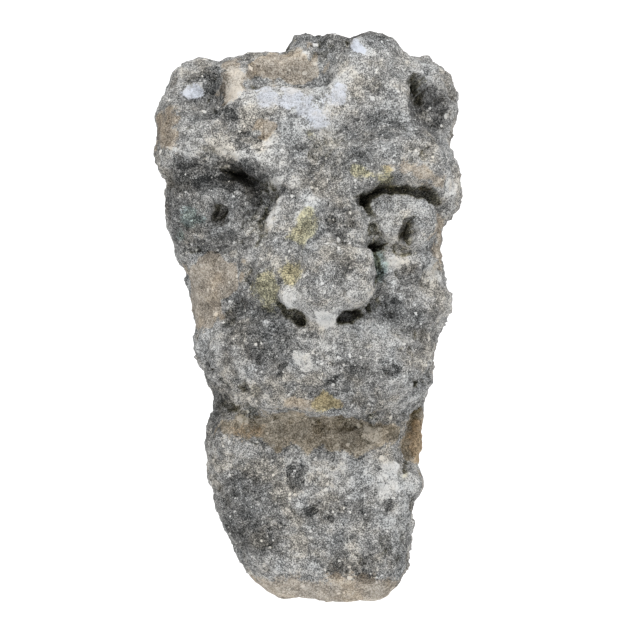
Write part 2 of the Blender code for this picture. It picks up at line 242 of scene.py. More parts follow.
def mouthAndJaw(stone, p):
    lip = rope(p, (-88, 222, -62, 9), (-62, 241, -74, 10), (-30, 254, -86, 10), (20, 259, -94, 10),
               (54, 255, -92, 10), (86, 241, -78, 10), (110, 216, -62, 9))
    stone = join(stone, lip, 14)
    crease = rope(p, (-70, 251, -69, 2), (-42, 262, -76, 3), (-8, 267, -81, 3), (20, 268, -82, 2))
    stone = carve(stone, crease, 3)
    cove = rope(p, (-110, 252, -104, 21), (-44, 264, -113, 23), (30, 264, -119, 23), (98, 252, -110, 22))
    stone = carve(stone, cove, 14)
    stone = join(stone, ball(p, (-80, 198, -124), (22, 44, 36)), 20)
    return join(stone, ball(p, (100, 186, -165), (15, 34, 20)), 6)


def holes(stone, p):
    # nostrils, pupils, the pit beside the nose, and a row of chips along the edge of the lip
    leftNostril = rope(p, (-29, 273, 15, 4), (-21, 275, 7, 6), (-12, 273, -1, 7), (-1, 272, -13, 6))
    rightNostril = rope(p, (27, 276, 0, 6), (38, 262, 4, 11), (49, 256, 8, 8))
    stone = carve(carve(stone, leftNostril, 4), rightNostril, 5)
    stone = carve(stone, ball(p, (-89, 253, 102), (9, 17, 12), (0, 8, 0)), 5)
    stone = carve(stone, ball(p, (97, 268, 85), (8, 28, 12), (0, 30, 0)), 2)
    stone = carve(stone, ball(p, (66, 250, 70), (9, 34, 6)), 2)
    for across, up in ((-60, -84), (-38, -93), (-4, -101), (22, -105), (54, -102), (82, -89)):
        stone = carve(stone, ball(p, (across, 264, up), (8, 14, 5), (0, across / 3, 0)), 4)
    return stone


def stoneForm(points):
    # distance to the carved stone, below 0 inside it
    stone = roughBlock(points)
    for work in (foreheadAndBrows, brokenCrown, ears, eyes, nose, muzzle, mouthAndJaw, holes):
        stone = work(stone, points)
    return stone


# Wear: amounts and sizes in parts
wear = {
    "seed": 11,
    "warp": [(27, 3.6), (11, 1.5)],                  # size, shift: makes every carved edge wander
    "waves": [(44, 2.2), (19, 1.6), (9, 1.0)],       # size, height: worked into the form itself
    "grit": [(6.0, 0.9), (3.4, 0.8)],                # size, height: raised on the finished surface
    "lumps": [(17, 0.8), (8, 0.5)],                  # spacing, height of rounded lumps with sharp seams
    "facets": [(21, 2.0), (11, 1.5), (5.5, 0.7)],    # spacing, height of broken facets with steps between
    "cracks": [(31, 2.2, 0.10), (15, 1.3, 0.12)],    # size, depth, width as a share of the noise
    "pits": [(19, 0.22, 2.6), (9, 0.28, 1.5)],       # spacing, share of cells that hold one, depth
    "stir": (9, 5),                                  # size, shift: bends the edges of the facets
    "rough": (34, 0.55, 0.9),                        # size of rough places, relief between them, more on them
    "bareLoss": 0.5,                                 # share of the relief that bare stone lacks
    "wallFade": 6,                                   # relief fades out over this distance from the wall
    "bedRelief": 0.2,                                # share of the relief that the bed keeps
    "bedEdge": (12, 4.5),                            # out and down from the wall's top edge, made level
}
lattice = np.random.default_rng(wear["seed"]).random((64, 64, 64)).astype(np.float32)


def cloud(points, size, shift=0.0):
    # value noise: random numbers on a lattice, joined by smooth ramps, from 0 to 1
    place = points / size + shift
    cell = np.floor(place).astype(np.int32)
    near = place - cell
    near = near * near * (3 - 2 * near)
    total = 0
    for corner in np.ndindex(2, 2, 2):
        spot = (cell + corner) & 63
        weight = np.prod(np.where(corner, near, 1 - near), axis=1)
        total = total + weight * lattice[spot[:, 0], spot[:, 1], spot[:, 2]]
    return total


def pits(points, spacing, share):
    # one round hollow in some cells of a lattice: 1 at its middle, 0 past its rim
    place = points / spacing
    cell = np.floor(place).astype(np.int32)
    deepest = np.zeros(len(points), np.float32)
    for step in np.ndindex(3, 3, 3):
        spot = cell + step - 1
        i, j, k = (spot & 63).T
        shake = np.stack([lattice[i, j, k], lattice[j, k, i], lattice[k, i, j]], 1) - 0.5
        middle = spot + 0.5 + 0.6 * shake
        radius = 0.12 + 0.3 * lattice[i, k, j]
        gap = np.linalg.norm(place - middle, axis=1) / radius
        deepest = np.maximum(deepest, np.where(lattice[j, i, k] < share, 1 - gap * gap, 0))
    return deepest


def lumps(points, spacing):
    # each point of a shaken lattice is a lump: 1 at its middle, falling off with the square of the
    # distance to the nearest one, so lumps meet in sharp seams
    place = points / spacing
    cell = np.floor(place).astype(np.int32)
    nearest = np.full(len(points), 9.0, np.float32)
    for step in np.ndindex(3, 3, 3):
        spot = cell + step - 1
        i, j, k = (spot & 63).T
        shake = np.stack([lattice[k, i, j], lattice[i, j, k], lattice[j, k, i]], 1) - 0.5
        middle = spot + 0.5 + 0.8 * shake
        nearest = np.minimum(nearest, ((place - middle) ** 2).sum(axis=1))
    return 1 - np.minimum(nearest, 1) * 1.6


def facets(points, spacing):
    # each cell round the points of a shaken lattice is one plane with its own height and tilt
    place = points / spacing
    cell = np.floor(place).astype(np.int32)
    nearest = np.full(len(points), 9.0, np.float32)
    height = np.zeros(len(points), np.float32)
    for step in np.ndindex(3, 3, 3):
        spot = cell + step - 1
        i, j, k = (spot & 63).T
        shake = np.stack([lattice[k, j, i], lattice[i, k, j], lattice[j, i, k]], 1) - 0.5
        away = place - spot - 0.5 - 0.8 * shake
        gap = (away ** 2).sum(axis=1)
        plane = lattice[k, i, j] - 0.5 + (away * shake).sum(axis=1)
        height = np.where(gap < nearest, plane, height)
        nearest = np.minimum(nearest, gap)
    return height


def cracks(points, size, width):
    # thin seams where a noise crosses its middle value, 1 at the seam, and only here and there
    seam = np.clip(1 - np.abs(2 * cloud(points, size, 5.5) - 1) / width, 0, 1)
    return seam * seam * np.clip(4 * cloud(points, 2.3 * size, 17.0) - 1.9, 0, 1)


def wornForm(points):
    # the carved stone, read at places that noise has shifted, with shallow waves on it
    shift = [sum(height * (2 * cloud(points, size, start) - 1) for size, height in wear["warp"])
             for start in (1.7, 14.1, 28.3)]
    stone = stoneForm(points + np.stack(shift, axis=1).astype(np.float32))
    for size, height in wear["waves"]:
        stone = stone + height * (1 - 2 * cloud(points, size, size))
    return stone


# Weathering, and painted shade under the left brow: where each finish lies. A patch is its middle, its radii
# and its turn, in parts; the last number is how soft its edge is.
finishAndShadePatches = {
    "bare": [((-96, 225, 38), (37, 60, 25), (0, -16, 0), 3), ((-106, 220, 14), (22, 60, 27), (0, -20, 0), 3),
             ((-22, 240, 252), (42, 70, 22), (0, 0, 0), 4),
             ((-140, 190, 190), (12, 60, 24), (0, 0, 0), 6), ((-77, 230, 238), (9, 40, 26), (0, 0, 0), 7),
             ((8, 190, -276), (100, 110, 20), (0, 0, 0), 16), ((130, 200, 76), (9, 60, 22), (0, 0, 0), 6),
             ((108, 262, 143), (22, 30, 6), (0, 20, 0), 8),
             ((-42, 255, 188), (10, 30, 7), (0, 0, 0), 3), ((4, 262, -84), (30, 30, 7), (0, 0, 0), 6)],
    "brown": [((2, 235, -112), (92, 60, 19), (0, 4, 0), 7), ((107, 190, -122), (16, 60, 28), (0, 0, 0), 6)],
    "rust": [((108, 190, -128), (12, 60, 20), (0, 0, 0), 8), ((-62, 235, -113), (12, 60, 6), (0, 0, 0), 14)],
    "dark": [((-96, 236, 112), (58, 90, 48), (0, 0, 0), 4), ((-103, 245, 226), (22, 50, 28), (0, 0, 0), 7),
             ((-46, 250, -16), (44, 60, 32), (0, 30, 0), 12), ((-54, 235, -190), (34, 60, 48), (0, 0, 0), 20),
             ((36, 240, -190), (40, 60, 16), (0, 0, 0), 16), ((44, 250, -46), (30, 40, 16), (0, 0, 0), 16),
             ((118, 230, 198), (21, 60, 27), (0, 0, 0), 10), ((-64, 235, 198), (38, 50, 15), (0, 10, 0), 10),
             ((70, 262, 36), (8, 40, 20), (0, 0, 0), 6), ((-96, 200, -90), (22, 60, 40), (0, 0, 0), 12),
             ((88, 240, 4), (34, 50, 18), (0, 0, 0), 12), ((24, 270, 96), (26, 30, 22), (0, 0, 0), 12),
             ((60, 240, 186), (36, 50, 20), (0, 0, 0), 16),
             ((30, 285, 50), (16, 30, 14), (0, 0, 0), 24), ((-140, 190, 186), (12, 60, 24), (0, 0, 0), 24),
             ((100, 240, 36), (16, 50, 14), (0, 0, 0), 20), ((36, 190, 280), (44, 140, 20), (0, 0, 0), 16)],
    "pale": [((-98, 250, 170), (52, 30, 9), (0, 22, 0), 6), ((-47, 262, 156), (32, 30, 9), (0, -22, 0), 6),
             ((92, 262, 60), (34, 30, 8), (0, 0, 0), 6), ((-46, 262, 100), (12, 30, 24), (0, 8, 0), 7),
             ((14, 284, -2), (18, 30, 13), (0, 0, 0), 6), ((76, 240, -160), (30, 40, 46), (0, 0, 0), 14),
             ((0, 255, -148), (90, 40, 10), (0, 0, 0), 12), ((40, 250, 214), (26, 50, 16), (0, 0, 0), 16),
             ((-80, 262, -58), (26, 30, 16), (0, 0, 0), 9), ((20, 255, 112), (46, 30, 14), (0, 0, 0), 9),
             ((0, 250, 200), (90, 40, 44), (0, 0, 0), 24), ((90, 262, 90), (34, 30, 34), (0, 0, 0), 10),
             ((10, 255, 186), (60, 40, 22), (0, 0, 0), 20), ((50, 260, -24), (52, 40, 27), (0, 0, 0), 14),
             ((30, 240, -176), (60, 40, 40), (0, 0, 0), 30)],
    "chalk": [((-16, 262, 221), (13, 40, 12), (0, 0, 0), 4), ((2, 262, 204), (13, 40, 19), (0, -30, 0), 9),
              ((29, 258, 219), (10, 40, 14), (0, 10, 0), 6), ((-37, 258, 219), (12, 40, 7), (0, 0, 0), 6),
              ((48, 250, 266), (8, 40, 3), (0, 20, 0), 4), ((-117, 232, 226), (11, 40, 6), (0, -10, 0), 5)],
    "moss": [((-4, 272, 88), (13, 30, 17), (0, 10, 0), 8), ((-19, 270, 44), (11, 30, 15), (0, 0, 0), 7),
             ((-40, 262, 28), (12, 34, 24), (0, 0, 0), 9), ((2, 260, 176), (10, 30, 7), (0, 0, 0), 6),
             ((16, 262, -84), (14, 20, 8), (0, 0, 0), 6),
             ((64, 256, 138), (26, 30, 5), (0, 20, 0), 7)],
    # the first two of these darken the crease under the left brow: painted shade; the rest are small dark
    # specks
    "blot": [((-86, 245, 138), (46, 50, 14), (0, 0, 0), 16), ((-64, 245, 146), (30, 30, 6), (0, -34, 0), 3),
             ((-12, 240, -149), (6, 40, 5), (0, 0, 0), 3), ((-12, 240, -164), (7, 40, 6), (0, 0, 0), 3),
             ((75, 240, -184), (6, 40, 5), (0, 0, 0), 3), ((4, 240, -192), (5, 40, 4), (0, 0, 0), 3),
             ((24, 240, -200), (7, 40, 6), (0, 0, 0), 3), ((79, 260, -52), (7, 40, 5), (0, 0, 0), 3),
             ((28, 270, -59), (7, 40, 6), (0, 0, 0), 3), ((91, 240, 16), (6, 40, 5), (0, 0, 0), 3),
             ((6, 240, -107), (4, 40, 3), (0, 0, 0), 2), ((24, 230, -252), (8, 40, 6), (0, 0, 0), 3),
             ((58, 230, -257), (7, 40, 5), (0, 0, 0), 3), ((-59, 255, 171), (9, 40, 6), (0, 0, 0), 3),
             ((81, 250, 191), (8, 40, 3), (0, 0, 0), 3), ((-79, 250, 200), (9, 40, 8), (0, 0, 0), 4),
             ((-23, 270, -46), (7, 40, 5), (0, 0, 0), 3), ((24, 280, 94), (5, 40, 6), (0, 0, 0), 3)],
    "flake": [((-122, 236, 163), (28, 40, 4), (0, 18, 0), 2), ((-72, 254, 160), (36, 40, 4), (0, -22, 0), 2),
              ((-28, 256, 136), (20, 40, 4), (0, -36, 0), 2),
              ((-77, 234, 238), (7, 40, 24), (0, 0, 0), 7), ((-6, 270, -39), (9, 30, 7), (0, 0, 0), 2),
              ((-64, 230, -102), (7, 40, 6), (0, 0, 0), 3),
              ((81, 235, -159), (11, 40, 12), (0, 0, 0), 9), ((64, 240, -115), (10, 40, 6), (0, 0, 0), 4),
              ((-69, 250, 123), (5, 30, 4), (0, 0, 0), 2), ((54, 235, 268), (10, 40, 5), (0, 20, 0), 3),
              ((-116, 235, 228), (10, 40, 6), (0, -10, 0), 3), ((-36, 262, 101), (6, 30, 16), (0, 6, 0), 4),
              ((8, 275, 115), (9, 30, 4), (0, 0, 0), 3), ((28, 240, -132), (4, 30, 4), (0, 0, 0), 2),
              ((-18, 288, 21), (8, 20, 9), (0, 0, 0), 4), ((14, 285, -4), (8, 30, 9), (0, 0, 0), 4),
              ((124, 240, 45), (6, 40, 9), (0, 0, 0), 4), ((88, 262, 55), (13, 30, 6), (0, 0, 0), 4),
              ((141, 225, 131), (8, 40, 6), (0, 0, 0), 4)],
    "teal": [((70, 262, 52), (9, 30, 18), (0, 0, 0), 6), ((-120, 220, 96), (18, 40, 12), (0, 0, 0), 7)],
}
raggedEdge = [(16, 9.0), (7, 5.0)]       # size, shift: how far noise moves the edges of patches


def patchCover(points, patches, ragged):
    # 1 inside a patch, 0 outside, over an edge as wide as its softness
    cover = np.zeros(len(points), np.float32)
    for middle, radii, turn, soft in patches:
        gap = ball(points, middle, radii, turn) + ragged
        cover = np.maximum(cover, np.clip(0.5 - gap / (2 * soft), 0, 1))
    return cover


# The skin: how its grid is spread over a box round the stone, and how its points come down to the stone
skin = {
    "low": (-176, 0, -306),
    "high": (176, 346, 306),
    "core": (0.3, 0.38, 0.7),        # a point's line runs toward these shares of its own place
    "frontColumns": 154,
    "sideColumns": 64,
    "wallColumns": 7,
    "sideRows": 296,
    "topRows": 22,
    "underRows": 16,
    "crowding": 1.35,                # above 1, the side columns lie closer together toward the front
    "steps": 60,
    "stride": 0.75,                  # a step's share of the distance to the stone
    "closeEnough": 0.04,
}


def skinGrid():
    # The two parameters are the way round (columns) and from the foot's middle to the top's (rows).
    # A row is a rectangle: full size on the sides, shrinking to a point over the foot and the top.
    low, high = np.array(skin["low"], float), np.array(skin["high"], float)
    front = np.linspace(0, 1, skin["frontColumns"], endpoint=False)
    side = np.linspace(0, 1, skin["sideColumns"], endpoint=False)
    wall = np.linspace(0, 1, skin["wallColumns"], endpoint=False)
    crowding = skin["crowding"]
    ring = np.concatenate([
        np.stack([np.zeros_like(side), 1 - (1 - side) ** crowding], 1),    # left side, wall to front
        np.stack([front, np.ones_like(front)], 1),                         # front, left to right
        np.stack([np.ones_like(side), 1 - side ** crowding], 1),           # right side, front to wall
        np.stack([1 - wall, np.zeros_like(wall)], 1),                      # along the wall
    ])
    under = np.linspace(0, 1, skin["underRows"], endpoint=False)
    top = np.linspace(1, 0, skin["topRows"] + 1)[1:]
    reach = np.concatenate([under, np.ones(skin["sideRows"]), top])
    rise = np.concatenate([np.zeros_like(under), np.linspace(0, 1, skin["sideRows"]), np.ones_like(top)])
    flat = 0.5 + (ring[None, :, :] - 0.5) * reach[:, None, None]
    start = np.empty((len(reach), len(ring), 3))
    start[..., 0] = low[0] + flat[..., 0] * (high[0] - low[0])
    start[..., 1] = low[1] + flat[..., 1] * (high[1] - low[1])
    start[..., 2] = low[2] + rise[:, None] * (high[2] - low[2])
    return start


def meetStone(start, form):
    # each point goes along its own line toward the core until it meets the form
    shape = start.shape
    start = start.reshape(-1, 3).astype(np.float32)
    way = start * (np.array(skin["core"], np.float32) - 1)
    length = np.linalg.norm(way, axis=1)
    way /= length[:, None]
    gone = np.zeros(len(start), np.float32)
    moving = np.arange(len(start))
    for step in range(skin["steps"]):
        here = start[moving] + way[moving] * gone[moving, None]
        gap = form(here)
        gone[moving] = np.clip(gone[moving] + skin["stride"] * gap, 0, length[moving])
        moving = moving[np.abs(gap) > skin["closeEnough"]]
    return (start + way * gone[:, None]).reshape(shape)


def gridNormals(place):
    # across both directions of the grid, one long, pointing out of the stone
    around = np.roll(place, -1, axis=1) - np.roll(place, 1, axis=1)
    upward = np.gradient(place, axis=0)
    normal = np.cross(upward, around)
    return normal / (np.linalg.norm(normal, axis=2, keepdims=True) + 1e-9)


def flatWall(place):
    # on the side rows the columns along the wall lie evenly between the two edges of the wall face,
    # and the next row under the foot ends that face
    rows = slice(skin["underRows"], skin["underRows"] + skin["sideRows"])
    first = 2 * skin["sideColumns"] + skin["frontColumns"]
    share = (np.arange(skin["wallColumns"]) / skin["wallColumns"])[None, :, None]
    rightEdge, leftEdge = place[rows, first][:, None, :], place[rows, 0][:, None, :]
    place[rows, first:] = rightEdge + (leftEdge - rightEdge) * share
    foot = place[skin["underRows"] - 1]
    foot[first:, 1] = foot[0, 1] = 0
    return place


def makeSkin():
    # the grid brought down to the stone, then every point moved along its normal by the fine relief
    place = flatWall(meetStone(skinGrid(), wornForm))
    print("stone met,", place.shape)
    points = place.reshape(-1, 3)
    raised = sum(height * (2 * cloud(points, size, 5.0) - 1) for size, height in wear["grit"])
    raised -= sum(depth * pits(points, spacing, share) for spacing, share, depth in wear["pits"])
    size, between, more = wear["rough"]
    rough = between + more * np.clip(2.2 * cloud(points, size, 9.0) - 0.6, 0, 1)
    raised += rough * sum(height * lumps(points, spacing) for spacing, height in wear["lumps"])
    size, shift = wear["stir"]
    stirred = points + np.stack([shift * cloud(points, size, start) for start in (2.2, 12.7, 31.9)], axis=1)
    raised += rough * sum(height * facets(stirred, spacing) for spacing, height in wear["facets"])
    raised -= sum(depth * cracks(points, size, width) for size, depth, width in wear["cracks"])
    raised *= 1 - wear["bareLoss"] * patchCover(points, finishAndShadePatches["bare"], 0)
    keep = np.clip(points[:, 1] / wear["wallFade"], 0, 1)
    level = block["bedLevel"]
    bed = (np.abs(points[:, 2] - level) < 2) & (points[:, 1] < block["bedDepth"])
    keep[bed] *= wear["bedRelief"]
    points = points + gridNormals(place).reshape(-1, 3) * (raised * keep)[:, None]
    points[:, 1] = np.maximum(points[:, 1], 0)
    out, down = wear["bedEdge"]
    edge = (points[:, 2] > level - down) & (points[:, 1] < out)
    points[edge, 2] = level + (points[edge, 2] - level) * points[edge, 1] / out
    return points.reshape(place.shape)


def gridMesh(name, place):
    # quads between neighbouring rows and columns, and a fan to one point at each end
    rows, columns = place.shape[:2]
    foot, top = place[0].mean(axis=0), place[-1].mean(axis=0)
    body = place[1:-1].reshape(-1, 3)
    verts = np.concatenate([foot[None], body, top[None]])
    number = 1 + np.arange((rows - 2) * columns).reshape(rows - 2, columns)
    after = np.roll(number, -1, axis=1)
    quads = np.stack([number[:-1], after[:-1], after[1:], number[1:]], -1).reshape(-1, 4)
    under = np.stack([after[0], number[0], np.zeros(columns, int)], 1)
    over = np.stack([number[-1], after[-1], np.full(columns, len(verts) - 1)], 1)
    mesh = bpy.data.meshes.new(name)
    mesh.from_pydata(verts.tolist(), [], quads.tolist() + under.tolist() + over.tolist())
    mesh.polygons.foreach_set("use_smooth", np.ones(len(mesh.polygons), bool))
    mesh.update()
    return mesh, verts


def toMetres(points):
    # parts into the object's metres, where out of the wall is toward -Y
    return points * partSize * (1, -1, 1) + partShift


def onMesh(values, rows, columns):
    # the mesh has one vertex at the foot, the grid's inner rows, and one vertex at the top
    grid = values.reshape(rows, columns)
    return np.concatenate([[grid[0].mean()], grid[1:-1].ravel(), [grid[-1].mean()]]).astype(np.float32)


hollowScales = [(2, 0.5), (7, 2.4)]      # grid steps to each side, depth that counts as fully hollow


def hollowness(place):
    # how far a point lies below the mean of its neighbours, near and wide, as a share of 1
    normal = gridNormals(place)
    total = np.zeros(place.shape[:2])
    for reach, depth in hollowScales:
        mean = place
        for turn in range(2):
            mean = sum(np.roll(mean, step, axis=1) for step in range(-reach, reach + 1)) / (2 * reach + 1)
            padded = np.pad(mean, ((reach, reach), (0, 0), (0, 0)), mode="edge")
            mean = sum(padded[step:step + len(place)] for step in range(2 * reach + 1)) / (2 * reach + 1)
        total += np.clip(((mean - place) * normal).sum(axis=2) / depth, -1, 1)
    return total / 2


shadeReach = 12           # painted shade, with some grime: a point is darkened as far as stone stands close round the place this far out of it


def paintAttributes(mesh, place):
    # one number from 0 to 1 for each point and each finish, and for painted shade from occlusion and from the
    # relief
    rows, columns = place.shape[:2]
    points = place.reshape(-1, 3).astype(np.float32)
    covers = {}
    for finish, patches in finishAndShadePatches.items():
        ragged = sum(shift * (2 * cloud(points, size, 3.0 * len(finish)) - 1) for size, shift in raggedEdge)
        covers[finish] = patchCover(points, patches, ragged)
    # painted shade, with some grime: the nearer stone stands in front of a point, the darker it is painted
    ahead = points + gridNormals(place).reshape(-1, 3).astype(np.float32) * shadeReach
    shadeAndGrime = 1 - wornForm(ahead) / shadeReach
    wallFace = points[:, 1] < 0.5
    covers["shadeAndGrime"] = np.where(wallFace, 0, np.clip(shadeAndGrime, 0, 1))
    covers["bare"] = np.where(wallFace, 1, covers["bare"])
    # painted light and shade from the relief: above 0.5 in hollows, painted darker, below it on raised
    # places, painted lighter
    covers["paintedRelief"] = 0.5 + 0.5 * hollowness(place).ravel()
    for name, cover in covers.items():
        layer = mesh.attributes.new(name, "FLOAT", "POINT")
        layer.data.foreach_set("value", onMesh(cover, rows, columns))
    print("painted:", ", ".join(covers))


place = makeSkin()
stoneMesh, stonePoints = gridMesh("corbelSkin", place)
paintAttributes(stoneMesh, place)
stoneMesh.vertices.foreach_set("co", toMetres(stonePoints).astype(np.float32).ravel())
stoneMesh.update()
corbel = bpy.data.objects.new("corbelSkin", stoneMesh)
bpy.context.scene.collection.objects.link(corbel)
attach(corbel, "root")
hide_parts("corbel")
print("skin made,", len(stoneMesh.polygons), "faces")


# Finish of the stone, with painted shade: colours are linear red, green, blue; sizes are in millimetres.
# Every part of the crust has a tone from 0, black, to 1, chalk white; noise, patches, spots, grime and
# painted light and shade raise or lower it, and a ramp of three colours turns it into stone.
stoneFinish = {
    "crust": [(0.015, 0.016, 0.016), (0.186, 0.185, 0.180), (0.66, 0.655, 0.635)],
    "bare": [(0.050, 0.040, 0.030), (0.285, 0.248, 0.203), (0.62, 0.57, 0.50)],
    "earth": [(0.030, 0.024, 0.014), (0.225, 0.194, 0.148), (0.54, 0.49, 0.41)],
    "tints": {                       # what the colour is multiplied by
        "warm": (1.04, 0.995, 0.925),
        "cool": (0.975, 1.00, 1.03),
        "rust": (1.08, 0.88, 0.66),
        "moss": (1.00, 0.95, 0.68),
        "teal": (0.78, 0.95, 0.97),
        "chalk": (0.92, 0.955, 1.055),
        # olive tint where occlusion paints shade, taken also as grime
        "shadeAndGrime": (1.00, 0.94, 0.68),
    },
    "middle": 0.53,                  # tone of the crust before anything moves it
    "noises": {                      # size, detail, roughness, shift
        "broad": (60, 3, 0.6, 0.91),
        "clump": (15, 7, 0.72, 0.23),
        "grain": (2.4, 4, 0.75, 0.0),
        "sand": (1.2, 2, 0.6, 0.37),
        "drift": (38, 4, 0.6, 0.47),
    },
    "strengths": {"broad": 0.50, "clump": 0.52, "grain": 1.18, "sand": 2.1},
    "plates": [(9, 0.22), (3.4, 0.26)],                # size, strength
    "spots": {                       # spacing, share of cells with one, reach, shift, strength
        "darkSpots": (34, 0.25, 0.24, 0.13, -0.24),
        "paleSpots": (15, 0.26, 0.28, 0.57, 0.24),
        "flakes": (5.4, 0.22, 0.28, 0.83, 0.72),
        "whiteFlakes": (11, 0.24, 0.25, 0.71, 0.90),
    },
    "patches": {                     # how far each one moves the tone
        # dark specks, and painted shade under the left brow
        "blot": -0.30,
        "flake": 0.33,
        "dark": -0.19,
        "pale": 0.12,
        "chalk": 0.23,
        "moss": 0.03,
        # painted shade, with some grime, where stone closes round a point
        "shadeAndGrime": -0.35,
        # painted shade in hollows and painted light on raised places
        "paintedRelief": -0.13,
    },
    "edge": (0.36, 0.68, 1.3),       # a patch's edge: where it starts, where it is full, how broken up
    "ownEdges": {
        "chalk": (0.45, 0.75, 1.2),
        "moss": (0.3, 0.75, 1.0),
        "teal": (0.3, 0.8, 1.3),
        "blot": (0.35, 0.6, 0.5),
        "flake": (0.36, 0.56, 0.7),
        "rust": (0.35, 0.95, 1.5),
    },
    "rustShare": 0.8,
    "bareCalm": -0.12,               # added to the mottling's share of 1 on bare stone, and on chalk
    "chalkCalm": -0.45,
    "bumps": {"sand": 0.6, "clump": 1.2, "paleSpots": 0.25},
    "bumpHeight": 0.0018,
    "roughness": 0.92,
    "specular": 0.25,
}


class NodeKit:
    # short calls for building one node tree
    def __init__(self, tree):
        self.tree = tree

    def add(self, kind, settings=None, **inputs):
        node = self.tree.nodes.new(kind)
        for name, value in (settings or {}).items():
            setattr(node, name, value)
        for name, value in inputs.items():
            self.feed(node.inputs[name.replace("_", " ")], value)
        return node

    def feed(self, socket, value):
        if isinstance(value, bpy.types.NodeSocket):
            self.tree.links.new(value, socket)
        else:
            socket.default_value = value

    def sum(self, kind, first, second, third=0.0):
        node = self.tree.nodes.new("ShaderNodeMath")
        node.operation = kind
        for socket, value in zip(node.inputs, (first, second, third)):
            self.feed(socket, value)
        return node.outputs[0]

    def more(self, value, strength, total):
        # total + strength * value
        return self.sum("MULTIPLY_ADD", value, strength, total)

    def step(self, value, low, high):
        # 0 below low, 1 above high, smooth between
        node = self.add("ShaderNodeMapRange", {"interpolation_type": "SMOOTHSTEP"}, Value=value)
        node.inputs["From Min"].default_value = low
        node.inputs["From Max"].default_value = high
        return node.outputs[0]

    def ramp(self, tone, colours):
        node = self.tree.nodes.new("ShaderNodeValToRGB")
        node.color_ramp.elements.new(0.5)
        for element, place, colour in zip(node.color_ramp.elements, (0.0, 0.5, 1.0), colours):
            element.position = place
            element.color = (*colour, 1)
        self.feed(node.inputs[0], tone)
        return node.outputs[0]

    def blend(self, share, first, second, how="MIX"):
        node = self.tree.nodes.new("ShaderNodeMix")
        node.data_type = "RGBA"
        node.blend_type = how
        self.feed(node.inputs[0], share)
        for socket, value in ((node.inputs[6], first), (node.inputs[7], second)):
            self.feed(socket, value if isinstance(value, bpy.types.NodeSocket) else (*value, 1))
        return node.outputs[2]


